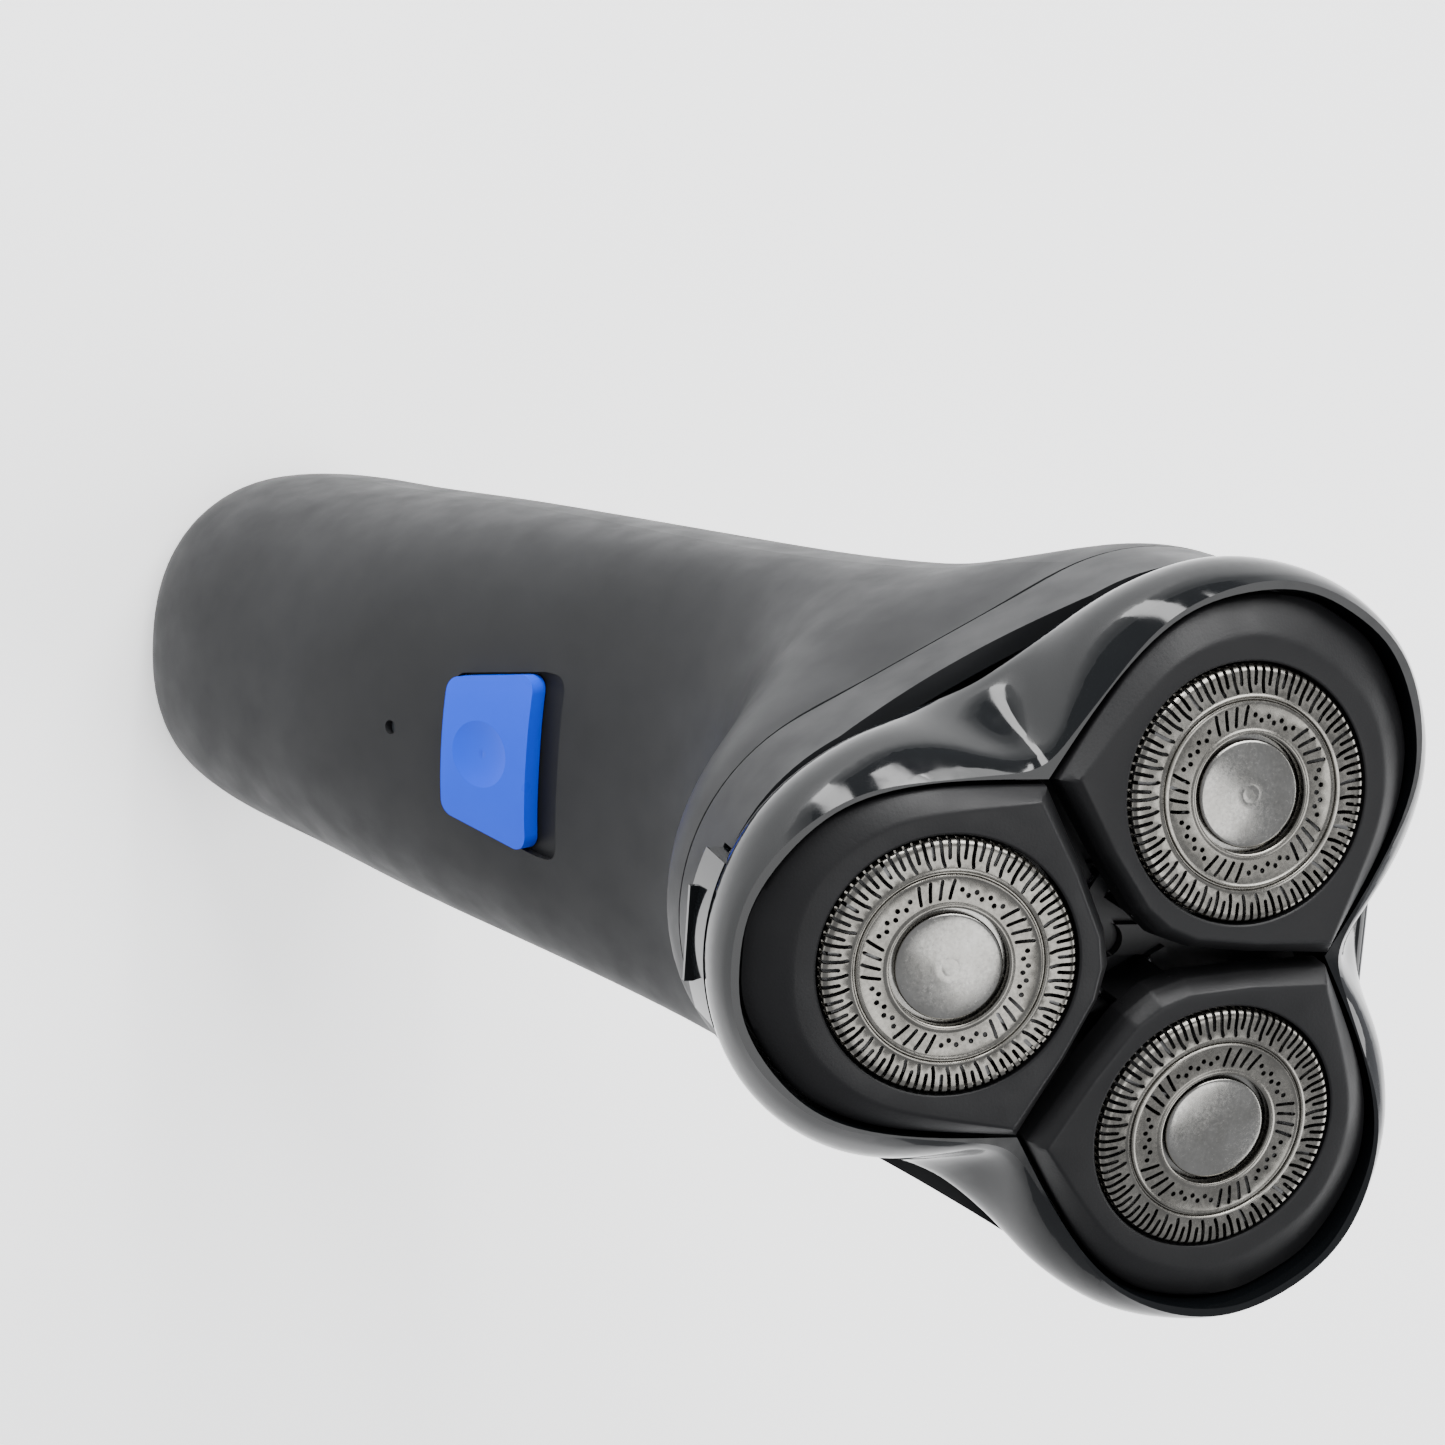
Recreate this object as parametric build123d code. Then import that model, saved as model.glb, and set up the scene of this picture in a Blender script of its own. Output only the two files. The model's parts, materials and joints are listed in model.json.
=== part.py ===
from build123d import *
import math
import os

os.makedirs("parts", exist_ok=True)

# Cordless rotary shaver. Millimetres and degrees.
# Row frame: origin on the flat base, +Z up the grip, -Y the switch side, X across.
# Head frame: origin at the shaving plane on the head's axis, +Z out of the head.

# ---------------------------------------------------------------- driving sizes
BODY_HEIGHT = 135.0        # base to the collar joint, on the centre line
BODY_HALF_WIDTH = 24.5     # half the grip's width at the neck
BODY_HALF_DEPTH = 19.0     # the grip's reach behind the centre line
CASING_WALL = 2.1
BASE_WALL = 2.6
PARTING_Y = -2.0           # plane between the two casing halves

HEAD_TILT = 22.0           # the head leans towards the switch side
HEAD_BACK = 2.0            # the collar joint's centre in front of the centre line
JOINT_DEPTH = 20.0         # shaving plane to the collar joint

FOIL_R = 10.5              # outer radius of a foil
FOIL_MARGIN = 3.7          # foil edge to the plane half way to the next foil
PETAL_TILT = 6.0           # each foil leans outwards
FOIL_SHEET = 0.35
SLOT_COUNT = 45            # long slots in a foil, with as many short ones between
SLOT_WIDTH = 0.28

GEAR_MODULE = 0.5
PINION_TEETH = 14
GEAR_THICK = 3.0
GEAR_HOLE_R = 2.4          # lightening holes

CELL_R = 7.1               # one AA-size cell
CELL_LENGTH = 49.0
MOTOR_R = 10.2
MOTOR_HALF_FLAT = 7.1
MOTOR_LENGTH = 21.2
MOTOR_SHAFT_R = 1.0
MOTOR_BOSS_R = 3.0         # hole in the motor plate round the shaft
LOCK_STEM_R = 1.5          # stem of the lock knob
LOCK_KNOB_R = 6.0

PIN_CLEARANCE = 0.05       # radial, turning fits
GAP = 0.3                  # between moving covers
PETAL_GAP = 0.4            # petal to head frame

# ---------------------------------------------------------------- derived sizes
PITCH_R = (FOIL_R + FOIL_MARGIN) / math.sin(math.radians(60))
HEAD_SCALE = PITCH_R / 16.4
SIN_TILT = math.sin(math.radians(HEAD_TILT))
COS_TILT = math.cos(math.radians(HEAD_TILT))
HEAD_Y = -HEAD_BACK - JOINT_DEPTH * SIN_TILT
HEAD_Z = BODY_HEIGHT + JOINT_DEPTH * COS_TILT
HEAD = Location((0, HEAD_Y, HEAD_Z), (HEAD_TILT, 0, 0))
TURNS = [Location((0, 0, 0), (0, 0, 120 * k)) for k in range(3)]
FRONT_FOIL = Location((0, -PITCH_R, 0), (PETAL_TILT, 0, 0))
FOILS = [turn * FRONT_FOIL for turn in TURNS]

# heights in the head frame
PETAL_TOP = -0.3
PETAL_EDGE = -1.7
PETAL_SKIRT = -4.0
FRAME_TOP = -1.7
FRAME_BOTTOM = -10.3
COLLAR_TOP = -10.7
SPOKE_TOP = -7.4
SPOKE_BOTTOM = -9.4
PLATE_THICK = 1.1
PLATE_R = 20.0 * HEAD_SCALE
DECK_TOP = -17.0
DECK_THICK = 1.8
SEAL_THICK = 0.3
GEAR_TOP = -20.4
MOTOR_PLATE_TOP = -25.5
MOTOR_PLATE_THICK = 1.8
MOTOR_TOP = MOTOR_PLATE_TOP - MOTOR_PLATE_THICK

# gear train: the three gears stand round the pinion
SPINDLE_TIP = -5.9
SPINDLE_TARGET_R = PITCH_R + SPINDLE_TIP * math.tan(math.radians(PETAL_TILT)) - 0.3
GEAR_TEETH = round(2 * SPINDLE_TARGET_R / GEAR_MODULE) - PINION_TEETH
SPINDLE_R = GEAR_MODULE * (PINION_TEETH + GEAR_TEETH) / 2

# collar outline: three circles joined by straight sides
COLLAR_LOBE_PITCH = PITCH_R - 1.6
COLLAR_LOBE_R = FOIL_R + 8.0
COLLAR_WALL = 1.8


def save(shape, name):
    """Writes one piece to its own file."""
    shape.label = name
    export_step(shape, "parts/" + name + ".step")


# ---------------------------------------------------------------- section shapes
def lobe_angle(phi):
    """Angle from the nearest lobe's axis, 0 on a lobe and 60 between two."""
    return 60 - abs((phi + 90) % 120 - 60)


def grip_radius(phi, half_width, front, rear, squareness):
    """Superellipse with its own depth in front and behind."""
    c = abs(math.cos(math.radians(phi))) / half_width
    s = math.sin(math.radians(phi))
    s = abs(s) / (front if s < 0 else rear)
    return (c ** squareness + s ** squareness) ** (-1 / squareness)


def collar_radius(phi):
    """Outline of the collar: three lobes with straight sides between them."""
    psi = lobe_angle(phi)
    tangent = math.degrees(math.atan2(
        COLLAR_LOBE_R * math.sin(math.radians(60)),
        COLLAR_LOBE_PITCH + COLLAR_LOBE_R / 2))
    if psi > tangent:
        side = COLLAR_LOBE_PITCH / 2 + COLLAR_LOBE_R
        return side / math.cos(math.radians(60 - psi))
    across = COLLAR_LOBE_PITCH * math.sin(math.radians(psi))
    along = COLLAR_LOBE_PITCH * math.cos(math.radians(psi))
    return along + math.sqrt(COLLAR_LOBE_R ** 2 - across ** 2)


def ring_wire(radius_of, y, z, tilt, step):
    """Closed smooth curve of radius_of(angle) in a plane that leans by tilt about X."""
    cos_t = math.cos(math.radians(tilt))
    sin_t = math.sin(math.radians(tilt))
    points = []
    for i in range(round(360 / step)):
        phi = i * step
        r = radius_of(phi)
        across = r * math.sin(math.radians(phi))
        points.append((r * math.cos(math.radians(phi)), y + across * cos_t, z + across * sin_t))
    return Wire(Spline(*points, periodic=True))


# Grip sections: height and tilt as shares, widths and depths as shares of the driving sizes,
# squareness of the outline, shift forward in millimetres, and share of the collar's lobed outline
GRIP = (
    (0.0000, 0.00, 0.675, 0.86, 0.80, 2.3, 0.0, 0.0),
    (0.0119, 0.00, 0.760, 0.99, 0.91, 2.3, 0.0, 0.0),
    (0.0444, 0.00, 0.810, 1.07, 0.96, 2.3, 0.0, 0.0),
    (0.1890, 0.00, 0.865, 1.10, 1.00, 2.2, 0.0, 0.0),
    (0.3380, 0.00, 0.915, 1.02, 1.02, 2.2, 0.0, 0.0),
    (0.4850, 0.00, 0.950, 0.83, 1.03, 2.3, 0.0, 0.0),
    (0.6190, 0.00, 0.975, 0.665, 1.02, 2.6, 0.0, 0.0),
    (0.7220, 0.14, 1.005, 0.675, 1.02, 2.6, 0.0, 0.0),
    (0.8110, 0.41, 1.045, 0.86, 1.02, 2.5, 0.0, 0.1),
    (0.8850, 0.68, 1.105, 1.20, 1.05, 2.4, 0.0, 0.35),
    (0.9480, 0.90, 1.185, 1.50, 1.14, 2.3, 0.6, 0.75),
)


def grip_wire(station, inset, lift):
    """One section of the grip, drawn in by inset and raised by lift."""
    height, tilt, width, front, rear, square, forward, lobed = station
    full = collar_radius(0)

    def radius(phi):
        plain = grip_radius(phi, width * BODY_HALF_WIDTH, front * BODY_HALF_DEPTH,
                            rear * BODY_HALF_DEPTH, square)
        lobes = collar_radius(phi) * width * BODY_HALF_WIDTH / full
        return plain * (1 - lobed) + lobes * lobed - inset

    return ring_wire(radius, -forward, height * BODY_HEIGHT + lift, tilt * HEAD_TILT, 15)


def joint_wire(inset, lift):
    """Section at the collar joint; lift is along the head's axis."""
    lifted = JOINT_DEPTH - lift
    return ring_wire(lambda phi: collar_radius(phi) - inset, HEAD_Y + lifted * SIN_TILT,
                     HEAD_Z - lifted * COS_TILT, HEAD_TILT, 15)


def grip_solid(inset, base, top):
    """The grip's outer shape drawn in by inset, from base up to the collar joint plus top."""
    wires = []
    for index, station in enumerate(GRIP):
        if index == 0:
            wires.append(grip_wire(station, inset if base == 0 else 0.0, base))
        elif base > 0 and station[0] * BODY_HEIGHT < 2 * base:
            continue
        else:
            wires.append(grip_wire(station, inset, 0))
    wires.append(joint_wire(inset, top))
    return Solid.make_loft(wires)


def bar(x0, x1, y0, y1, z0, z1):
    """Box between two corners."""
    return Pos((x0 + x1) / 2, (y0 + y1) / 2, (z0 + z1) / 2) * Box(x1 - x0, y1 - y0, z1 - z0)


def drum(radius, z0, z1, x=0.0, y=0.0):
    """Upright cylinder from z0 to z1."""
    return Pos(x, y, (z0 + z1) / 2) * Cylinder(radius, abs(z1 - z0))


def cross_pin(radius, x0, x1, y, z):
    """Cylinder along X."""
    return Pos((x0 + x1) / 2, y, z) * Rot(0, 90, 0) * Cylinder(radius, x1 - x0)


def spindle_spots():
    """Centres of the three spindles in the head frame."""
    for k in range(3):
        angle = math.radians(-90 + 120 * k)
        yield SPINDLE_R * math.cos(angle), SPINDLE_R * math.sin(angle)


# ---------------------------------------------------------------- casing
SWITCH_Z = 0.501 * BODY_HEIGHT      # height of the switch's centre
SWITCH_SLOPE = 11.5                 # the grip's front leans back here
SWITCH_LOW_HALF = 7.0               # half widths of the switch
SWITCH_HIGH_HALF = 9.2
SWITCH_HALF_LENGTH = 6.0
SWITCH_TRAVEL = 3.0
SWITCH_PROUD = 1.3
SWITCH_SINK = 1.0                   # depth of the recess it slides in
STEM_HALF = (1.6, 1.2)
LAMP_Z = 0.392 * BODY_HEIGHT
LAMP_R = 0.7
SOCKET_Y = 7.0
SOCKET_HALF = (4.2, 3.1)
SOCKET_DEPTH = 9.0
SOCKET_WALL = 1.2
CONTACT_R = 0.6
CONTACT_X = 2.2
SCREW_X = 12.5
SCREW_Z = 16.0
SCREW_R = 1.0
SCREW_HEAD_R = 1.9
SCREW_LENGTH = 18.0
BOSS_R = 3.0
BOARD_FRONT = -5.7
BOARD_THICK = 1.2
SLOPE = math.radians(SWITCH_SLOPE)
FRONT_AT_SWITCH = -0.80 * BODY_HALF_DEPTH
SWITCH_PLANE = Plane(origin=(0, FRONT_AT_SWITCH, SWITCH_Z), x_dir=(1, 0, 0),
                     z_dir=(0, -math.cos(SLOPE), math.sin(SLOPE)))


def switch_prism(margin, extra):
    """Trapezoid across the front, grown by margin, and longer by extra towards the head."""
    low = SWITCH_LOW_HALF + margin
    high = SWITCH_HIGH_HALF + margin
    half = SWITCH_HALF_LENGTH + margin
    right = [(low, -half), (high, half)]
    if extra:
        right.append((high, half + extra))
    left = [(-x, y) for x, y in reversed(right)]
    face = make_face(Polyline(*right, *left, close=True))
    face = fillet(face.vertices(), 1.6)
    return extrude(SWITCH_PLANE * face, amount=9, both=True)


def make_casing():
    """Two moulded halves with the switch recess, lamp hole, socket and screw bosses."""
    outer = grip_solid(0, 0, -SEAL_THICK / 2)
    body = outer - grip_solid(CASING_WALL, BASE_WALL, 1.0)
    recess = switch_prism(0.25, SWITCH_TRAVEL) - grip_solid(SWITCH_SINK, 0, 0)
    body -= recess
    slot_high = SWITCH_TRAVEL + STEM_HALF[1] + GAP
    slot = Pos(0, (slot_high - STEM_HALF[1] - GAP) / 2, 0) * Box(
        2 * (STEM_HALF[0] + GAP), slot_high + STEM_HALF[1] + GAP, 12)
    body -= SWITCH_PLANE * slot
    body -= Pos(0, FRONT_AT_SWITCH, LAMP_Z) * Rot(90, 0, 0) * Cylinder(LAMP_R + PIN_CLEARANCE, 16)
    body -= bar(-SOCKET_HALF[0], SOCKET_HALF[0], SOCKET_Y - SOCKET_HALF[1],
                SOCKET_Y + SOCKET_HALF[1], -1, BASE_WALL + 1)
    half = bar(-60, 60, -80, PARTING_Y, -5, 200)
    front = body & half
    rear = body - half
    bosses = [Pos(side * SCREW_X, 0, SCREW_Z) * Rot(90, 0, 0) * Cylinder(BOSS_R, 60)
              for side in (-1, 1)]
    hollow = grip_solid(CASING_WALL - 0.2, BASE_WALL, 1.0)
    for side, boss in zip((-1, 1), bosses):
        post = boss & hollow
        bore = Pos(side * SCREW_X, 0, SCREW_Z) * Rot(90, 0, 0) * Cylinder(SCREW_R, 20)
        sink = Pos(side * SCREW_X, SCREW_LENGTH / 2 + 15, SCREW_Z) * Rot(90, 0, 0) * Cylinder(
            SCREW_HEAD_R + GAP, 30)
        front += (post & half) - bore
        rear += (post - half) - bore - sink
        rear -= sink
        rear -= bore
    return front, rear


def make_screws():
    """Two screws that pull the casing halves together."""
    screws = []
    for side in (-1, 1):
        shank = Pos(side * SCREW_X, 0, SCREW_Z) * Rot(90, 0, 0) * Cylinder(SCREW_R, SCREW_LENGTH)
        seat = SCREW_LENGTH / 2
        head = Pos(side * SCREW_X, seat + 0.9, SCREW_Z) * Rot(90, 0, 0) * Cylinder(SCREW_HEAD_R, 1.8)
        cross = Pos(side * SCREW_X, seat + 1.8, SCREW_Z) * (Box(2.6, 1.4, 0.5) + Box(0.5, 1.4, 2.6))
        screws.append((head + shank) - cross)
    return Compound(children=screws)


def make_slider():
    """Thumb slider that follows the front, with a dished face and a stem through the slot."""
    skin = switch_prism(0, 0) & grip_solid(-SWITCH_PROUD, 0, 0)
    skin -= grip_solid(SWITCH_SINK - GAP, 0, 0)
    dish = SWITCH_PLANE * (Pos(0, -0.6, 15.2) * Sphere(14.3))
    stem = SWITCH_PLANE * (Pos(0, 0, -3.4) * Box(2 * STEM_HALF[0], 2 * STEM_HALF[1], 6.0))
    return (skin - dish) + stem


def make_lamp():
    """Light pipe from the board to the front."""
    front = FRONT_AT_SWITCH - 2.4
    return Pos(0, (front + BOARD_FRONT - 2) / 2, LAMP_Z) * Rot(90, 0, 0) * Cylinder(
        LAMP_R, BOARD_FRONT - 2 - front)


def make_inlet():
    """Socket block behind the hole in the base."""
    x, y = SOCKET_HALF
    block = bar(-x - SOCKET_WALL, x + SOCKET_WALL, SOCKET_Y - y - SOCKET_WALL,
                SOCKET_Y + y + SOCKET_WALL, BASE_WALL, SOCKET_DEPTH + 2)
    return block - bar(-x, x, SOCKET_Y - y, SOCKET_Y + y, 0, SOCKET_DEPTH)


def make_inlet_pins():
    """Two contact pins in the socket."""
    pins = [drum(CONTACT_R, BASE_WALL + 0.9, SOCKET_DEPTH, side * CONTACT_X, SOCKET_Y)
            for side in (-1, 1)]
    return Compound(children=pins)


# ---------------------------------------------------------------- collar and gearbox
HINGE_Y = 24.2 * HEAD_SCALE         # rear hinge of the head
HINGE_Z = -11.0
HINGE_PIN_R = 0.7
KNUCKLE_R = 1.5
KNUCKLE_HALF = 6.0
EAR_WIDTH = 3.3
HINGE_RELIEF = -12.8                # the collar is cut down here to let the head swing
TAB_HALF = 6.8
TAB_TOP = -7.0
TAB_BOTTOM = -12.4
TAB_THICK = 1.8
TAB_FRONT_R = COLLAR_LOBE_R + 0.1
TAB_CENTRE_Y = -PITCH_R + 0.2
TAB_FACE_Y = TAB_CENTRE_Y - TAB_FRONT_R
SPINDLE_BODY_R = 1.9
SPINDLE_BORE_R = 1.05
SPINDLE_NECK_R = 0.8
SPINDLE_NECK = -11.0                # the thin neck starts here
AXLE_R = SPINDLE_BORE_R - PIN_CLEARANCE
SLEEVE_TOP = -13.5
SLEEVE_R = 4.0
POST_R = 2.2
POST_PCR = SPINDLE_R + 1.5


def head_ring(z0, z1, inset):
    """Solid with the collar's outline between two heights of the head frame."""
    low = ring_wire(lambda phi: collar_radius(phi) - inset, 0, z0, 0, 10)
    high = ring_wire(lambda phi: collar_radius(phi) - inset, 0, z1, 0, 10)
    return Solid.make_loft([low, high], ruled=True)


def make_collar():
    """Ring under the head, dipped between the lobes, with the hinge ears and tab notch."""
    ring = head_ring(-JOINT_DEPTH + SEAL_THICK / 2, COLLAR_TOP, 0)
    ring -= head_ring(-JOINT_DEPTH - 1, COLLAR_TOP + 1, COLLAR_WALL)
    dip_r = 34 * HEAD_SCALE
    for angle in (-30, 90, 210):
        dip = Pos(0, 0, COLLAR_TOP - 2.2 + dip_r) * Rot(90, 0, 0) * Cylinder(dip_r, 20)
        ring -= Rot(0, 0, angle - 90) * Pos(0, 26 * HEAD_SCALE, 0) * dip
    ring -= bar(-24, 24, HINGE_Y - 2.7, HINGE_Y + 10, HINGE_RELIEF, 0)
    ring -= bar(-TAB_HALF - GAP, TAB_HALF + GAP, TAB_FACE_Y - 5, TAB_FACE_Y + 5,
                TAB_BOTTOM - GAP, 0)
    ear_in = KNUCKLE_HALF + 0.15
    for side in (-1, 1):
        x0, x1 = sorted((side * ear_in, side * (ear_in + EAR_WIDTH)))
        ear = cross_pin(KNUCKLE_R, x0, x1, HINGE_Y, HINGE_Z)
        ear += bar(x0, x1, HINGE_Y - 1.3, HINGE_Y + 1.0, HINGE_RELIEF - 1.5, HINGE_Z)
        ring += ear - cross_pin(HINGE_PIN_R, x0 - 1, x1 + 1, HINGE_Y, HINGE_Z)
    return ring


def make_tab_spring():
    """Leaf behind the release tab, standing on the drive deck."""
    y0 = -collar_radius(-90) + COLLAR_WALL + 2 * GAP
    leaf = bar(-4, 4, y0, y0 + 0.3, DECK_TOP, TAB_BOTTOM + 1.2)
    return leaf + bar(-4, 4, y0, y0 + 3.0, DECK_TOP, DECK_TOP + 0.3)


def make_tab():
    """Release tab: a curved face, a finger rib and a latch foot."""
    skin = drum(TAB_FRONT_R, TAB_BOTTOM, TAB_TOP, 0, TAB_CENTRE_Y)
    skin -= drum(TAB_FRONT_R - TAB_THICK, TAB_BOTTOM - 1, TAB_TOP + 1, 0, TAB_CENTRE_Y)
    skin &= bar(-TAB_HALF, TAB_HALF, TAB_FACE_Y - 1, TAB_FACE_Y + 6, TAB_BOTTOM, TAB_TOP)
    rib = bar(-4, 4, TAB_FACE_Y - 0.35, TAB_FACE_Y + 1, TAB_BOTTOM + 1.2, TAB_BOTTOM + 1.7)
    return skin + rib


def make_deck():
    """Floor of the hair chamber, with a raised sleeve round each spindle."""
    deck = head_ring(DECK_TOP - DECK_THICK, DECK_TOP, COLLAR_WALL)
    for x, y in spindle_spots():
        deck += drum(SLEEVE_R, DECK_TOP, SLEEVE_TOP, x, y)
    for x, y in spindle_spots():
        deck -= drum(SPINDLE_BODY_R + 0.15, DECK_TOP - DECK_THICK - 1, SLEEVE_TOP + 1, x, y)
    return deck


def make_seals():
    """Rubber lip on each sleeve, close round the spindle."""
    seals = []
    for x, y in spindle_spots():
        seals.append(drum(SLEEVE_R - 0.6, SLEEVE_TOP, SLEEVE_TOP + 1, x, y)
                     - drum(SPINDLE_BODY_R + PIN_CLEARANCE, SLEEVE_TOP - 1, SLEEVE_TOP + 2, x, y))
    return seals


def make_collar_seal():
    """Thin gasket between the casing and the collar."""
    z1 = -JOINT_DEPTH + SEAL_THICK / 2
    ring = head_ring(z1 - SEAL_THICK, z1, 0.5)
    return ring - head_ring(z1 - 1, z1 + 1, COLLAR_WALL)


def post_spots():
    """Places of the gearbox posts, between the gears."""
    for k in range(3):
        angle = math.radians(-30 + 120 * k)
        yield POST_PCR * math.cos(angle), POST_PCR * math.sin(angle)


def make_motor_plate():
    """Round plate that carries the motor, the gear axles and the posts."""
    low = MOTOR_PLATE_TOP - MOTOR_PLATE_THICK
    plate = drum(POST_PCR + 1.4, low, MOTOR_PLATE_TOP)
    for x, y in post_spots():
        plate += drum(POST_R, MOTOR_PLATE_TOP, DECK_TOP - DECK_THICK, x, y)
        plate -= drum(SCREW_R, low - 1, DECK_TOP - DECK_THICK - 1, x, y)
    for x, y in spindle_spots():
        plate -= drum(AXLE_R, low - 1, MOTOR_PLATE_TOP + 1, x, y)
    return plate - drum(MOTOR_BOSS_R, low - 1, MOTOR_PLATE_TOP + 1)


def make_gearbox_screws():
    """Three screws up through the motor plate into its posts."""
    low = MOTOR_PLATE_TOP - MOTOR_PLATE_THICK
    screws = []
    for x, y in post_spots():
        screws.append(drum(SCREW_R, low, DECK_TOP - DECK_THICK - 2, x, y)
                      + drum(SCREW_HEAD_R, low - 1.2, low, x, y))
    return Compound(children=screws)


def make_axles():
    """Three steel pins that the gears turn on."""
    low = MOTOR_PLATE_TOP - MOTOR_PLATE_THICK
    return Compound(children=[drum(AXLE_R, low, GEAR_TOP + 4, x, y) for x, y in spindle_spots()])


def make_motor():
    """Flat-sided can motor under the plate."""
    can = drum(MOTOR_R, MOTOR_TOP - MOTOR_LENGTH, MOTOR_TOP)
    can &= bar(-MOTOR_R, MOTOR_R, -MOTOR_HALF_FLAT, MOTOR_HALF_FLAT,
               MOTOR_TOP - MOTOR_LENGTH, MOTOR_TOP)
    return can - drum(MOTOR_SHAFT_R + PIN_CLEARANCE, MOTOR_TOP - 3, MOTOR_TOP + 1)


def make_endcap():
    """Plastic cap and brush holder at the motor's back."""
    z1 = MOTOR_TOP - MOTOR_LENGTH
    cap = drum(MOTOR_R - 1.6, z1 - 1.2, z1)
    return cap & bar(-MOTOR_R, MOTOR_R, -MOTOR_HALF_FLAT + 1, MOTOR_HALF_FLAT - 1, z1 - 2, z1)


PRESSURE = math.radians(25)
BACKLASH = 0.07


def involute(angle):
    return math.tan(angle) - angle


def gear_face(teeth, phase):
    """Spur gear outline with involute flanks; phase is the direction of one tooth in degrees."""
    pitch = GEAR_MODULE * teeth / 2
    base = pitch * math.cos(PRESSURE)
    tip = pitch + 0.9 * GEAR_MODULE
    root = pitch - 1.15 * GEAR_MODULE
    half = math.pi / (2 * teeth) - BACKLASH / (2 * pitch)
    flank = []
    start = max(base, root)
    for i in range(4):
        r = start + (tip - start) * i / 3
        flank.append((r, half + involute(PRESSURE) - involute(math.acos(min(1.0, base / r)))))
    if root < base:
        flank.insert(0, (root, flank[0][1]))
    points = []
    for tooth in range(teeth):
        centre = math.radians(phase) + 2 * math.pi * tooth / teeth
        for r, turn in flank:
            points.append((r * math.cos(centre - turn), r * math.sin(centre - turn)))
        for r, turn in reversed(flank):
            points.append((r * math.cos(centre + turn), r * math.sin(centre + turn)))
    return make_face(Polyline(*points, close=True))


def make_pinion():
    """Motor shaft and pinion."""
    gear = Pos(0, 0, GEAR_TOP - GEAR_THICK) * extrude(gear_face(PINION_TEETH, 90), GEAR_THICK)
    return gear + drum(MOTOR_SHAFT_R, MOTOR_TOP - 2.5, GEAR_TOP + 0.4)


def make_gear(k):
    """Reduction gear round its spindle, in mesh with the pinion."""
    direction = math.radians(-90 + 120 * k)
    mesh = math.pi - PINION_TEETH * (direction - math.radians(90))
    phase = math.degrees(direction + math.pi - mesh / GEAR_TEETH)
    x = SPINDLE_R * math.cos(direction)
    y = SPINDLE_R * math.sin(direction)
    gear = extrude(gear_face(GEAR_TEETH, phase), GEAR_THICK)
    gear -= drum(SPINDLE_BODY_R, -1, GEAR_THICK + 1)
    pitch = GEAR_MODULE * GEAR_TEETH / 2
    for i in range(5):
        hole = math.radians(72 * i)
        gear -= drum(GEAR_HOLE_R, -1, GEAR_THICK + 1, pitch * 0.55 * math.cos(hole),
                     pitch * 0.55 * math.sin(hole))
    return Pos(x, y, GEAR_TOP - GEAR_THICK) * gear


def make_spindle(k):
    """Hollow drive shaft with a thin neck and a flat driving tip."""
    shaft = drum(SPINDLE_BODY_R, GEAR_TOP - GEAR_THICK, SPINDLE_NECK)
    shaft -= drum(SPINDLE_BORE_R, GEAR_TOP - GEAR_THICK - 1, GEAR_TOP + 4.2)
    shaft += drum(SPINDLE_NECK_R, SPINDLE_NECK, SPINDLE_TIP - 0.7)
    shaft += bar(-1.6, 1.6, -0.65, 0.65, SPINDLE_TIP - 1.5, SPINDLE_TIP)
    return TURNS[k] * Pos(0, -SPINDLE_R, 0) * shaft


# ---------------------------------------------------------------- grip internals
MOTOR_FOOT = HEAD_Z + (MOTOR_TOP - MOTOR_LENGTH - 1.2) * COS_TILT - MOTOR_R * SIN_TILT
CELL_TOP = MOTOR_FOOT - 2.5
CELL_Y = 8.8
CHASSIS_FRONT = BOARD_FRONT + BOARD_THICK
CHASSIS_THICK = 1.5
CHASSIS_HALF = 10.5
BOARD_LOW = 20.0


def make_cell():
    """Rechargeable cell with a raised positive end."""
    cell = drum(CELL_R, CELL_TOP - CELL_LENGTH, CELL_TOP - 1, 0, CELL_Y)
    return cell + drum(2.6, CELL_TOP - 1, CELL_TOP, 0, CELL_Y)


def make_cell_tabs():
    """Welded strips from the cell's ends to the chassis."""
    tabs = []
    for z0, z1 in ((CELL_TOP, CELL_TOP + 0.3), (CELL_TOP - CELL_LENGTH - 0.3, CELL_TOP - CELL_LENGTH)):
        tabs.append(bar(-2.2, 2.2, CHASSIS_FRONT + CHASSIS_THICK, CELL_Y + 3, z0, z1))
    return Compound(children=tabs)


def make_chassis():
    """Tray between the board and the cell, with two cradles."""
    back = CHASSIS_FRONT + CHASSIS_THICK
    tray = bar(-CHASSIS_HALF, CHASSIS_HALF, CHASSIS_FRONT, back, BOARD_LOW, CELL_TOP + 0.3)
    for share in (0.15, 0.75):
        z0 = CELL_TOP - CELL_LENGTH * (1 - share)
        tray += bar(-CELL_R - 1.4, CELL_R + 1.4, back, CELL_Y, z0, z0 + 4)
    return tray - drum(CELL_R, CELL_TOP - CELL_LENGTH, CELL_TOP + 1, 0, CELL_Y)


def make_board():
    """Control board with a chip, a coil and the lamp's emitter."""
    board = bar(-CHASSIS_HALF + 0.5, CHASSIS_HALF - 0.5, BOARD_FRONT, CHASSIS_FRONT,
                BOARD_LOW + 1, CELL_TOP - 1)
    board += bar(-3, 3, BOARD_FRONT - 1.2, BOARD_FRONT, BOARD_LOW + 6, BOARD_LOW + 11)
    board += bar(-7, -3, BOARD_FRONT - 3, BOARD_FRONT, BOARD_LOW + 14, BOARD_LOW + 19)
    return board + bar(-1.2, 1.2, BOARD_FRONT - 2, BOARD_FRONT, LAMP_Z - 1.2, LAMP_Z + 1.2)


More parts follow.
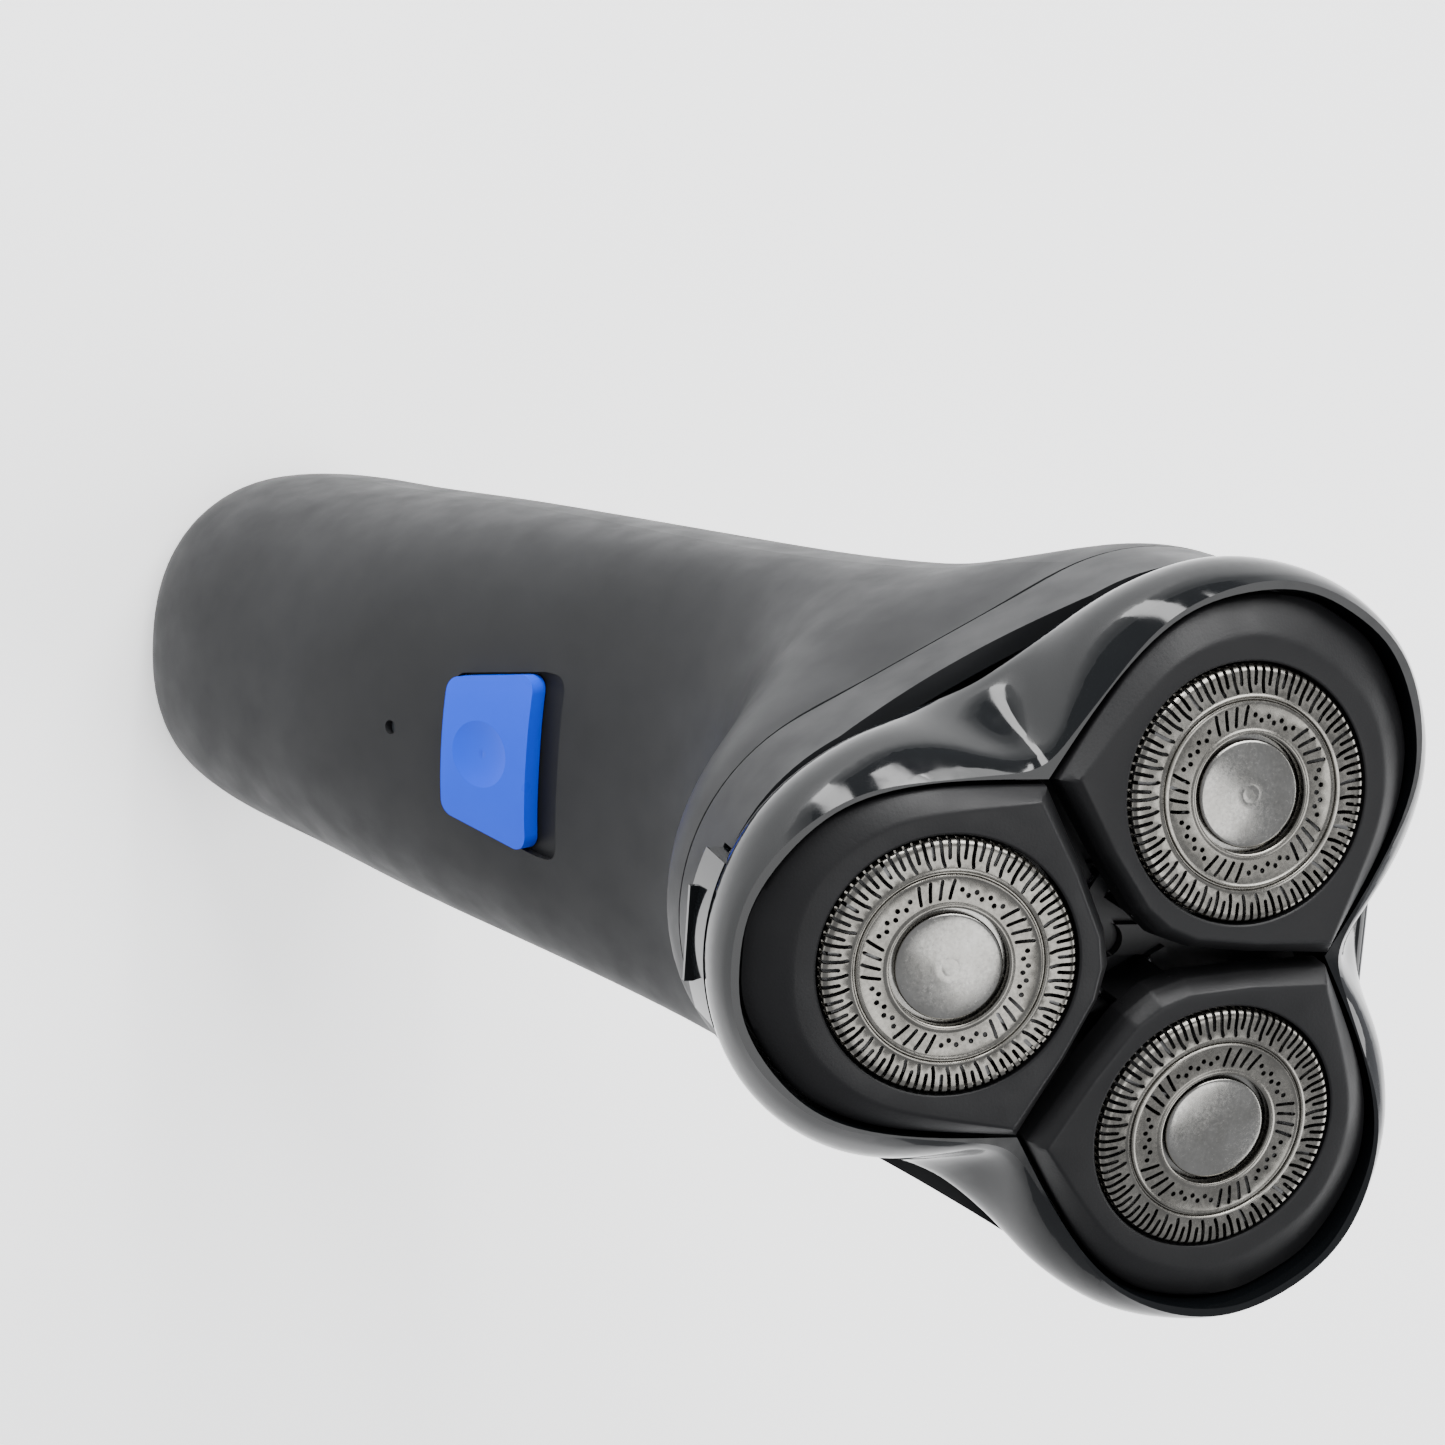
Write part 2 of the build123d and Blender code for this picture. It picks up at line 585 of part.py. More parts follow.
def make_switch_block():
    """Slide switch on the board with a fork for the slider's stem."""
    z0 = SWITCH_Z - 4
    block = bar(-4, 4, BOARD_FRONT - 2.2, BOARD_FRONT, z0, z0 + 9)
    return block


# ---------------------------------------------------------------- shaving head
# Radii of the head frame from its axis, every ten degrees from a lobe's axis to midway,
# at heights from the petals' edge down to the lower rim
FRAME_LEVELS = (
    (FRAME_TOP, (34.0, 33.4, 31.1, 27.6, 23.1, 20.0, 18.6)),
    (-3.2, (34.7, 34.1, 32.2, 29.3, 25.3, 21.7, 19.7)),
    (-6.0, (34.9, 34.4, 33.0, 30.6, 27.4, 23.6, 21.6)),
    (-8.5, (34.2, 33.8, 32.4, 30.2, 27.6, 24.9, 23.6)),
    (FRAME_BOTTOM, (33.2, 32.8, 31.4, 29.3, 27.0, 25.2, 24.4)),
)
# Margin of a petal's lobe beyond the foil, by angle from the outward direction
PETAL_LOBE = ((76, 3.95), (51, 4.9), (32, 5.5), (14, 6.1), (0, 6.1))
PETAL_FLAT = ((73, 2.0), (46, 2.2), (24, 2.4), (0, 2.2))
# Distance along the line between two petals, and half the gap there
PETAL_INNER = ((4.3, 1.44), (9.8, 0.94), (17.2, 0.67))
PETAL_TIP = 2.8
SPOKE_REACH = 16.4 * HEAD_SCALE
MIDWAYS = [Rot(0, 0, 120 * k) for k in range(3)]    # turns the +Y direction to each spoke
FLANGE_R = FOIL_R + 0.9
PETAL_BORE = FOIL_R + 0.25
UP = (0, 0, 1)
HUB_R = 3.4
CAP_R = 4.45
CAP_DOME = 0.35                     # rise of the cap's middle
BLADE_COUNT = 15
BLADE_THICK = 0.55
BLADE_LEAN = 12.0


def inner_point(along, gap):
    """Point beside the line between two petals, measured from the foil's centre."""
    x = along * HEAD_SCALE * math.sin(math.radians(60)) - gap * 0.5
    out = along * HEAD_SCALE * 0.5 + gap * math.cos(math.radians(30)) - PITCH_R
    return x, -out


def petal_outline(lobe, shrink, tip):
    """Petal outline in the foil's plane, drawn in by shrink along the inner sides."""
    points = [inner_point(along, gap + shrink) for along, gap in PETAL_INNER]
    near, middle, corner = points
    corner = (corner[0] - shrink * 0.6, corner[1])
    right = [corner]
    for angle, margin in lobe[:-1]:
        beta = math.radians(angle)
        right.append(((FOIL_R + margin) * math.sin(beta), -(FOIL_R + margin) * math.cos(beta)))
    end = (0, -(FOIL_R + lobe[-1][1]))
    left = [(-x, y) for x, y in reversed(right)]
    edges = [
        ThreePointArc((-near[0], near[1]), (0, PITCH_R - tip), near),
        Line(near, middle),
        Line(middle, corner),
        Spline(*right, end, *left),
        Line((-corner[0], corner[1]), (-middle[0], middle[1])),
        Line((-middle[0], middle[1]), (-near[0], near[1])),
    ]
    return Wire(edges)


def petal_face(grow=0.0):
    """Petal outline as a face, or a larger one for the pocket it sits in."""
    lobe = [(angle, margin + grow) for angle, margin in PETAL_LOBE]
    return make_face(petal_outline(lobe, -grow, PETAL_TIP - grow))


def make_petal():
    """Cover round one foil: flat rim, chamfered border, skirt and a hinge lug."""
    base = Pos(0, 0, PETAL_SKIRT) * extrude(petal_face(), PETAL_EDGE - PETAL_SKIRT, UP)
    low = Pos(0, 0, PETAL_EDGE) * petal_outline(PETAL_LOBE, 0, PETAL_TIP)
    high = Pos(0, 0, PETAL_TOP) * petal_outline(PETAL_FLAT, 0.9, PETAL_TIP + 1.0)
    body = base + Solid.make_loft([low, high], ruled=True)
    body -= drum(PETAL_BORE, -20, 2)
    body -= drum(FLANGE_R + 0.3, -20, -2.9 + PIN_CLEARANCE)
    return body


PIVOT_Y = -3.75 * HEAD_SCALE
PIVOT_Z = -7.4
PIVOT_R = 0.5


def make_petals():
    """Three petals on their hinge lugs, in the head frame."""
    petal = FRONT_FOIL * make_petal()
    y0 = PIVOT_Y - 0.8
    y1 = PIVOT_Y + 0.8
    lug = bar(-2.5, 2.5, y0, y1, PIVOT_Z - 0.7, PETAL_SKIRT + 2.5)
    lug -= cross_pin(PIVOT_R + PIN_CLEARANCE, -4, 4, PIVOT_Y, PIVOT_Z)
    lug -= FRONT_FOIL * drum(FLANGE_R + 0.3, PETAL_SKIRT - 1.2, 0)
    petal += lug
    return [turn * petal for turn in TURNS]


def make_petal_pins():
    """Three steel pins for the petals' hinges."""
    pin = cross_pin(PIVOT_R, -4.2, 4.2, PIVOT_Y, PIVOT_Z)
    return Compound(children=[turn * pin for turn in TURNS])


def frame_wire(level, values):
    """Outline of the head frame at one height."""
    def radius(phi):
        return HEAD_SCALE * values[round(lobe_angle(phi) / 10)]
    return ring_wire(radius, 0, level, 0, 10)


def make_frame():
    """Head frame: lobed shell with petal pockets, tab notch and hinge knuckle."""
    body = Solid.make_loft([frame_wire(level, values) for level, values in FRAME_LEVELS])
    pocket = Pos(0, 0, -14) * extrude(petal_face(PETAL_GAP), 18, UP)
    cuts = [place * pocket for place in FOILS]
    cuts.append(drum(5.0 * HEAD_SCALE, -20, 5))
    cuts.append(drum(PLATE_R + GAP, -20, SPOKE_BOTTOM))
    cuts += [midway * bar(-1.5, 1.5, -2, SPOKE_REACH, -20, 5) for midway in MIDWAYS]
    cuts.append(bar(-TAB_HALF - GAP, TAB_HALF + GAP, TAB_FACE_Y - 5, TAB_FACE_Y + 4.5,
                    FRAME_BOTTOM - 5, TAB_TOP + GAP))
    for side in (-1, 1):
        x0, x1 = sorted((side * KNUCKLE_HALF, side * (KNUCKLE_HALF + EAR_WIDTH + 0.4)))
        cuts.append(cross_pin(KNUCKLE_R + 0.25, x0, x1, HINGE_Y, HINGE_Z))
    body = body - cuts
    knuckle = cross_pin(KNUCKLE_R, -KNUCKLE_HALF, KNUCKLE_HALF, HINGE_Y, HINGE_Z)
    knuckle += bar(-KNUCKLE_HALF, KNUCKLE_HALF, HINGE_Y - 1.4, HINGE_Y - 0.4, HINGE_Z,
                   FRAME_BOTTOM + 1.2)
    body = body + knuckle
    body -= cross_pin(HINGE_PIN_R + PIN_CLEARANCE, -12, 12, HINGE_Y, HINGE_Z)
    return max(body.solids(), key=lambda solid: solid.volume)


def make_carrier():
    """Three-armed carrier inside the frame, with an ear each side of every petal's lug."""
    web = drum(6.5 * HEAD_SCALE, SPOKE_BOTTOM, SPOKE_BOTTOM + 1.0)
    for midway in MIDWAYS:
        web += midway * bar(-1.3, 1.3, 0, SPOKE_REACH, SPOKE_BOTTOM, SPOKE_TOP)
    for turn in TURNS:
        for side in (-1, 1):
            x0, x1 = sorted((side * 2.7, side * 4.2))
            web += turn * bar(x0, x1, PIVOT_Y - 0.9, PIVOT_Y + 0.9, SPOKE_BOTTOM, PIVOT_Z + 0.9)
    for turn in TURNS:
        web -= turn * cross_pin(PIVOT_R, -4.2, 4.2, PIVOT_Y, PIVOT_Z)
    return web - drum(LOCK_STEM_R + PIN_CLEARANCE, SPOKE_BOTTOM - 1, SPOKE_TOP + 2)


def make_hinge_pin():
    """Steel pin through the collar's ears and the frame's knuckle."""
    reach = KNUCKLE_HALF + 0.15 + EAR_WIDTH
    return cross_pin(HINGE_PIN_R, -reach, reach, HINGE_Y, HINGE_Z)


def make_retaining_plate():
    """Plate under the spokes that holds the foils and cutters in."""
    low = SPOKE_BOTTOM - PLATE_THICK
    disc = drum(PLATE_R, low, SPOKE_BOTTOM)
    for x, y in spindle_spots():
        disc -= drum(HUB_R + 1.0, low - 1, SPOKE_BOTTOM + 1, x, y)
    return disc - drum(LOCK_STEM_R + PIN_CLEARANCE, low - 1, SPOKE_BOTTOM + 1)


def make_lock_knob():
    """Quarter-turn knob that locks the retaining plate."""
    top = SPOKE_BOTTOM - PLATE_THICK
    knob = drum(LOCK_KNOB_R, top - 1.0, top)
    grip = LOCK_KNOB_R - 0.6
    knob += bar(-grip, grip, -0.9, 0.9, top - 2.4, top - 1.0)
    return knob + drum(LOCK_STEM_R, top, SPOKE_BOTTOM + 1.0)


# ---------------------------------------------------------------- foils and cutters
GROOVE = (7.60, 7.90)               # ring groove between the two tracks
LIP_R = 4.85
FOIL_DEPTH = 3.4


def foil_profile():
    """Half section of the pressed foil as a closed outline."""
    r = FOIL_R
    t = FOIL_SHEET
    points = (
        (r, -FOIL_DEPTH), (FLANGE_R, -FOIL_DEPTH), (FLANGE_R, -FOIL_DEPTH + 0.5),
        (r, -FOIL_DEPTH + 0.5), (r, -0.45), (r - 0.14, -0.13), (r - 0.45, 0),
        (GROOVE[1] + 0.12, 0), (GROOVE[1], -0.25), (GROOVE[0], -0.25), (GROOVE[0] - 0.12, 0),
        (LIP_R + 0.55, 0), (LIP_R + 0.35, 0.12), (LIP_R + 0.1, 0.05), (LIP_R, -0.15),
        (LIP_R, -1.0), (LIP_R + t, -1.0), (LIP_R + t, -t - 0.1), (LIP_R + t + 0.15, -t),
        (GROOVE[0] - 0.2, -t), (GROOVE[0] - 0.1, -t - 0.22), (GROOVE[1] + 0.1, -t - 0.22),
        (GROOVE[1] + 0.2, -t), (r - 0.5, -t), (r - t, -t - 0.2), (r - t, -FOIL_DEPTH),
    )
    return make_face(Polyline(*[(x, 0, z) for x, z in points], close=True))


def foil_cuts():
    """Long and short rim slots, and the groups of leaning slots and round holes inside them."""
    cuts = []
    pitch = 360 / SLOT_COUNT
    reach = FOIL_R + 0.5
    for i in range(SLOT_COUNT):
        for start, turn in ((GROOVE[1] + 0.12, -2.0), (GROOVE[1] + 0.95, 2.5)):
            slot = bar(start, reach, -SLOT_WIDTH / 2, SLOT_WIDTH / 2, -0.95, 0.5)
            cuts.append(Rot(0, 0, -90 + turn + pitch * i) * slot)
    middle = (GROOVE[0] + LIP_R) / 2 + 0.28
    for group in range(5):
        start = -90 + 72 * group
        for i in range(4):
            slot = Pos(middle, 0, 0) * Rot(0, 0, -14) * Box(1.7, SLOT_WIDTH, 1.4)
            cuts.append(Rot(0, 0, start + 57 + pitch * i) * slot)
        for i in range(7):
            r = middle + (-0.2 if i % 2 else 0.2)
            hole = math.radians(start + 16.5 + 5.5 * i)
            cuts.append(drum(0.19, -1, 1, r * math.cos(hole), r * math.sin(hole)))
    return cuts


def make_foil():
    """Slotted foil with a rounded rim, two tracks and a turned-in flange."""
    blank = revolve(foil_profile(), Axis.Z)
    return blank - foil_cuts()


def make_cap():
    """Domed centre cap under the foil's inner lip."""
    sag = CAP_DOME
    ball = (CAP_R ** 2 + sag ** 2) / (2 * sag)
    dome = drum(CAP_R, -1.0, 0.15) & (Pos(0, 0, 0.15 - ball) * Sphere(ball))
    return dome + drum(CAP_R + 0.6, -1.3, -1.0)


def make_cutter():
    """Steel cutter: a disc with two rings of upright blades."""
    disc = drum(FOIL_R - 0.6, -3.3, -2.8)
    blades = []
    for i in range(BLADE_COUNT):
        place = Rot(0, 0, 360 / BLADE_COUNT * i)
        lean = Rot(0, 0, BLADE_LEAN)
        blades.append(place * Pos(FOIL_R - 1.45, 0, -1.7) * lean * Box(1.7, BLADE_THICK, 2.4))
        blades.append(place * Pos(6.4, 0, -1.7) * lean * Box(1.6, BLADE_THICK, 2.4))
    disc = disc + blades
    return disc - drum(HUB_R - 0.4, -5, 1)


def make_hub():
    """Plastic carrier that joins a cutter to its spindle."""
    hub = drum(HUB_R - 0.4, -4.0, -2.2)
    hub += drum(HUB_R + 0.8, -4.2, -3.3)
    hub += drum(HUB_R, -7.6, -4.0)
    return hub - bar(-2.3, 2.3, -1.3, 1.3, -9, -3.4)


# ---------------------------------------------------------------- writing the pieces
def save_numbered(shapes, name):
    """Writes repeated pieces as name_1, name_2 and so on."""
    for index, shape in enumerate(shapes, start=1):
        save(HEAD * shape, name + "_" + str(index))


def build():
    front, rear = make_casing()
    save(front, "front_casing")
    save(rear, "rear_casing")
    save(make_screws(), "casing_screws")
    save(make_slider(), "power_slider")
    save(make_lamp(), "charge_lamp")
    save(make_inlet(), "charging_inlet")
    save(make_inlet_pins(), "inlet_pins")
    save(make_cell(), "battery_cell")
    save(make_cell_tabs(), "battery_tabs")
    save(make_chassis(), "inner_chassis")
    save(make_board(), "circuit_board")
    save(make_switch_block(), "switch_block")

    save(HEAD * make_collar(), "neck_collar")
    save(HEAD * make_collar_seal(), "collar_seal")
    save(HEAD * make_deck(), "drive_deck")
    save(HEAD * make_tab(), "release_tab")
    save(HEAD * make_tab_spring(), "tab_spring")
    save(HEAD * make_motor_plate(), "motor_plate")
    save(HEAD * make_gearbox_screws(), "gearbox_screws")
    save(HEAD * make_axles(), "gear_axles")
    save(HEAD * make_motor(), "motor_can")
    save(HEAD * make_endcap(), "motor_endcap")
    save(HEAD * make_pinion(), "motor_pinion")
    save_numbered(make_seals(), "spindle_seal")
    save_numbered([make_gear(k) for k in range(3)], "drive_gear")
    save_numbered([make_spindle(k) for k in range(3)], "drive_spindle")

    save(HEAD * make_frame(), "head_frame")
    save(HEAD * make_carrier(), "petal_carrier")
    save(HEAD * make_hinge_pin(), "hinge_pin")
    save(HEAD * make_petal_pins(), "petal_pins")
    save(HEAD * make_retaining_plate(), "retaining_plate")
    save(HEAD * make_lock_knob(), "lock_knob")
    save_numbered(make_petals(), "head_petal")
    foil = make_foil()
    cap = make_cap()
    cutter = make_cutter()
    hub = make_hub()
    save_numbered([place * foil for place in FOILS], "shaving_foil")
    save_numbered([place * cap for place in FOILS], "foil_cap")
    save_numbered([place * cutter for place in FOILS], "cutter")
    save_numbered([place * hub for place in FOILS], "cutter_hub")


build()
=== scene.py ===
import json
import math

import bmesh
import bpy
from mathutils import Matrix, Vector
from mathutils.geometry import delaunay_2d_cdt


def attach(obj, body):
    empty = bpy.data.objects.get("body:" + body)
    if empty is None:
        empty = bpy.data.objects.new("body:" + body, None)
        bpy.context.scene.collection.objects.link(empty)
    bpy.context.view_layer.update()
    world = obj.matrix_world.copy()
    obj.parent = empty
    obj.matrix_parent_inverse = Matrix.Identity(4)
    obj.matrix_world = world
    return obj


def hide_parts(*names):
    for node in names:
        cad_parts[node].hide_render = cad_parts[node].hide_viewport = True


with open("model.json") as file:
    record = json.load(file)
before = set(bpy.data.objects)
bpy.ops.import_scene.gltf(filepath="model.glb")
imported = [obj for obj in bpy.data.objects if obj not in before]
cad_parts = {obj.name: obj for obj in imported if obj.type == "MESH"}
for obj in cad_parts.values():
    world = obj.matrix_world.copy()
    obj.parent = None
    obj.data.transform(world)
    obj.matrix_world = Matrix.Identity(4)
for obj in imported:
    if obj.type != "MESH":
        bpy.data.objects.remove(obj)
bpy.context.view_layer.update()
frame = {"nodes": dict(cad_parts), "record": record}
NODES = frame["nodes"]
MM = 0.001

# The head leans towards the switch side; its frame has +Z out of the head.
TILT = math.radians(22.0)
HEAD_AT = Vector((0.0, -9.492, 153.544)) * MM
HEAD = Matrix.Translation(HEAD_AT) @ Matrix.Rotation(TILT, 4, "X")


# Colour sockets of the Mix node, whose names repeat for every data type
MIX_FIRST = 6
MIX_SECOND = 7
MIX_RESULT = 2


# ------------------------------------------------------------------ node helpers
class Shader:
    """A material under construction, with short calls for the nodes it needs."""

    def __init__(self, name):
        self.material = bpy.data.materials.new(name)
        self.material.use_nodes = True
        self.tree = self.material.node_tree
        self.tree.nodes.clear()
        self.out = self.tree.nodes.new("ShaderNodeOutputMaterial")
        self.bsdf = self.tree.nodes.new("ShaderNodeBsdfPrincipled")
        self.link(self.bsdf.outputs["BSDF"], self.out.inputs["Surface"])
        self.coords = self.tree.nodes.new("ShaderNodeTexCoord").outputs["Object"]

    def link(self, source, target):
        """Joins an output to an input."""
        self.tree.links.new(source, target)

    def set(self, **values):
        """Constants on the shader's sockets, with underscores for the spaces in their names."""
        for key, value in values.items():
            self.bsdf.inputs[key.replace("_", " ")].default_value = value
        return self

    def noise(self, scale, detail=4.0, rough=0.5):
        """Noise between 0 and 1."""
        node = self.tree.nodes.new("ShaderNodeTexNoise")
        node.inputs["Scale"].default_value = scale
        node.inputs["Detail"].default_value = detail
        node.inputs["Roughness"].default_value = rough
        self.link(self.coords, node.inputs["Vector"])
        return node.outputs["Fac"]

    def mapped(self, value, low, high, from_low=0.0, from_high=1.0):
        """Value carried from one range to another."""
        node = self.tree.nodes.new("ShaderNodeMapRange")
        node.inputs["From Min"].default_value = from_low
        node.inputs["From Max"].default_value = from_high
        node.inputs["To Min"].default_value = low
        node.inputs["To Max"].default_value = high
        self.link(value, node.inputs["Value"])
        return node.outputs["Result"]

    def blend(self, value, first, second):
        """Colour between two colours."""
        node = self.tree.nodes.new("ShaderNodeMix")
        node.data_type = "RGBA"
        node.inputs[MIX_FIRST].default_value = (*first, 1.0)
        node.inputs[MIX_SECOND].default_value = (*second, 1.0)
        self.link(value, node.inputs["Factor"])
        return node.outputs[MIX_RESULT]

    def bump(self, value, strength, distance):
        """Surface relief from a value."""
        node = self.tree.nodes.new("ShaderNodeBump")
        node.inputs["Strength"].default_value = strength
        node.inputs["Distance"].default_value = distance
        self.link(value, node.inputs["Height"])
        self.link(node.outputs["Normal"], self.bsdf.inputs["Normal"])

    def colour(self, output):
        """Base colour from an output."""
        self.link(output, self.bsdf.inputs["Base Color"])

    def roughness(self, output):
        """Roughness from an output."""
        self.link(output, self.bsdf.inputs["Roughness"])


# ------------------------------------------------------------------ materials
def moulded(name, dark, light, rough, grain=0.12, scale=9000.0, specular=0.5):
    """Satin moulded plastic with a fine spark-eroded grain and faint handling marks."""
    s = Shader(name)
    s.colour(s.blend(s.mapped(s.noise(60.0), 0.0, 1.0, 0.3, 0.7), dark, light))
    s.roughness(s.mapped(s.noise(220.0, 6.0), rough - 0.05, rough + 0.07, 0.3, 0.7))
    s.bump(s.noise(scale, 3.0), grain, 0.00004)
    return s.set(IOR=1.46, Specular_IOR_Level=specular).material


def glossy(name, colour, rough=0.08):
    """Piano-black plastic: deep colour with light swirl marks in the polish."""
    s = Shader(name)
    s.colour(s.blend(s.noise(90.0), colour, tuple(c * 1.35 for c in colour)))
    s.roughness(s.mapped(s.noise(500.0, 8.0), rough * 0.6, rough * 1.7, 0.35, 0.7))
    s.bump(s.noise(350.0, 2.0), 0.03, 0.00008)
    return s.set(IOR=1.48, Specular_IOR_Level=0.34).material


def metal(name, dark, light, rough, fine=3500.0):
    """Satin metal with fine grain and slow clouding."""
    s = Shader(name)
    s.colour(s.blend(s.mapped(s.noise(420.0, 5.0), 0.0, 1.0, 0.35, 0.65), dark, light))
    grain = s.noise(fine, 5.0, 0.6)
    s.roughness(s.mapped(grain, rough - 0.06, rough + 0.1, 0.3, 0.7))
    s.bump(grain, 0.08, 0.00003)
    return s.set(Metallic=1.0).material


MATERIALS = {
    "casing_charcoal": moulded("casing_charcoal", (0.0160, 0.0164, 0.0172),
                               (0.0190, 0.0195, 0.0205), 0.46, specular=0.10),
    "collar_grey": moulded("collar_grey", (0.0090, 0.0094, 0.0102), (0.0115, 0.012, 0.013),
                           0.40, specular=0.10),
    "frame_black": glossy("frame_black", (0.0025, 0.003, 0.0035)),
    "petal_black": moulded("petal_black", (0.0042, 0.0042, 0.0046), (0.0060, 0.0060, 0.0066),
                           0.44, 0.3, 4200.0, specular=0.30),
    "switch_blue": moulded("switch_blue", (0.004, 0.050, 0.66), (0.006, 0.065, 0.74), 0.32,
                           0.06, specular=0.10),
    "lamp_clear": glossy("lamp_clear", (0.05, 0.055, 0.06)),
    "foil_steel": metal("foil_steel", (0.15, 0.144, 0.13), (0.21, 0.202, 0.183), 0.25),
    "cap_steel": metal("cap_steel", (0.225, 0.22, 0.205), (0.275, 0.27, 0.255), 0.19),
    "cutter_steel": metal("cutter_steel", (0.10, 0.10, 0.10), (0.18, 0.18, 0.18), 0.4),
    "plain_steel": metal("plain_steel", (0.5, 0.5, 0.5), (0.62, 0.62, 0.63), 0.3),
    "motor_steel": metal("motor_steel", (0.46, 0.47, 0.48), (0.58, 0.59, 0.6), 0.32),
    "contact_brass": metal("contact_brass", (0.66, 0.5, 0.22), (0.8, 0.64, 0.32), 0.25),
    "gear_white": moulded("gear_white", (0.7, 0.7, 0.66), (0.8, 0.8, 0.77), 0.35, 0.05),
    "inner_black": moulded("inner_black", (0.014, 0.014, 0.015), (0.02, 0.02, 0.021), 0.45),
    "cell_wrap": moulded("cell_wrap", (0.03, 0.2, 0.08), (0.05, 0.26, 0.11), 0.3, 0.03),
    "board_green": moulded("board_green", (0.012, 0.14, 0.05), (0.02, 0.2, 0.08), 0.3, 0.05),
    "seal_rubber": moulded("seal_rubber", (0.01, 0.01, 0.01), (0.016, 0.016, 0.016), 0.6),
}


CAD_CREASE = 28                     # edges sharper than this many degrees stay crisp
PIECE_CREASE = 34
CAP_CREASE = 50
FOIL_CREASE = 32


def dress_cad():
    """Gives every CAD node its material and smooth shading up to a crease angle."""
    for row in frame["record"]["subparts"]:
        piece = NODES[row["node"]]
        piece.data.materials.clear()
        piece.data.materials.append(MATERIALS[row["material_slot"]])
        smooth(piece.data, CAD_CREASE)


def smooth(mesh, angle):
    """Smooth shading, with edges sharper than the angle left crisp."""
    bm = bmesh.new()
    bm.from_mesh(mesh)
    for face in bm.faces:
        face.smooth = True
    limit = math.radians(angle)
    for edge in bm.edges:
        edge.smooth = edge.is_manifold and edge.calc_face_angle(math.pi) < limit
    bm.to_mesh(mesh)
    bm.free()


# ------------------------------------------------------------------ head pieces
FOIL_R = 10.5
PITCH_R = 16.397
PETAL_TILT = math.radians(6.0)


def foil_place(index, spin=0.0):
    """Frame of one foil in millimetres: +Z out of the foil, -Y away from the head's centre."""
    lean = Matrix.Translation((0, -PITCH_R * MM, 0)) @ Matrix.Rotation(PETAL_TILT, 4, "X")
    turn = Matrix.Rotation(math.radians(120 * (index - 1)), 4, "Z")
    spun = Matrix.Rotation(math.radians(spin), 4, "Z")
    return HEAD @ turn @ lean @ spun @ Matrix.Scale(MM, 4)


def add_piece(name, mesh, place, body, slot_name, nodes):
    """Puts a finished mesh in the row frame, on its body and with its finish."""
    piece = bpy.data.objects.new(name, mesh)
    bpy.context.scene.collection.objects.link(piece)
    mesh.transform(place)
    mesh.materials.clear()
    mesh.materials.append(MATERIALS[slot_name])
    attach(piece, body)
    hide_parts(*nodes)
    return piece


# Half section of the pressed foil: radius and height, from the inner lip to the skirt
FOIL_SECTION = (
    (4.87, -0.70), (4.87, -0.12), (4.91, 0.02), (5.00, 0.09), (5.12, 0.11), (5.25, 0.08),
    (5.36, 0.01), (5.44, 0.00), (7.30, 0.00), (7.40, 0.04), (7.50, 0.09), (7.60, 0.07),
    (7.68, -0.02), (7.72, -0.16), (7.80, -0.16), (7.84, -0.02), (7.92, 0.07), (8.02, 0.09),
    (8.12, 0.04), (8.22, 0.00), (9.85, 0.00), (10.06, -0.03), (10.24, -0.10), (10.38, -0.22),
    (10.47, -0.38), (10.50, -0.56), (10.50, -1.05), (10.50, -2.60),
)
SLOT_WIDTH = 0.35
FOIL_THICK = 0.26
FOIL_AROUND = 180                   # points round each ring of the sheet
CAP_AROUND = 96
SLOT_PAIRS = 45                     # a short and a long slot in each pair
PAIR_PITCH = 8
LONG_START = 8.20                   # radii at which the slots begin
SHORT_START = 8.86
HOLE_GROUPS = 5                     # groups of leaning slots and round holes inside the ridges
GROUP_PITCH = 72
SLOT_FEET = (59, 67, 75, 83)        # directions of the leaning slots' inner ends in a group
HOLE_R = 0.23
HOLE_SIDES = 12
HOLES_IN_GROUP = 7


def section_lengths(section):
    """Distance along the section to each of its points, counted from the first radius."""
    lengths = [section[0][0]]
    for (r0, z0), (r1, z1) in zip(section, section[1:]):
        lengths.append(lengths[-1] + math.hypot(r1 - r0, z1 - z0))
    return lengths


def along_section(section, lengths, distance):
    """Radius and height at a distance along the section."""
    for i in range(len(lengths) - 1):
        if distance <= lengths[i + 1] or i == len(lengths) - 2:
            t = (distance - lengths[i]) / (lengths[i + 1] - lengths[i])
            (r0, z0), (r1, z1) = section[i], section[i + 1]
            return r0 + (r1 - r0) * t, z0 + (z1 - z0) * t
    return section[-1]


def flat_point(distance, angle):
    """Point of the unrolled foil; the angle is in degrees from the outward direction."""
    phi = math.radians(angle - 90)
    return Vector((distance * math.cos(phi), distance * math.sin(phi)))


END_SHARE = 0.55                    # width of a slot's very end, as a share of the slot


def slot_loop(path, width):
    """Closed outline with round ends along a path of (distance, angle) points."""
    points = [flat_point(*p) for p in path]
    left, right = [], []
    for i, point in enumerate(points):
        before = points[max(i - 1, 0)]
        after = points[min(i + 1, len(points) - 1)]
        run = (after - before).normalized()
        side = Vector((-run.y, run.x)) * width / 2
        end = i in (0, len(points) - 1)
        squeeze = END_SHARE if end else 1.0
        left.append(point + side * squeeze)
        right.append(point - side * squeeze)
    return right + left[::-1]


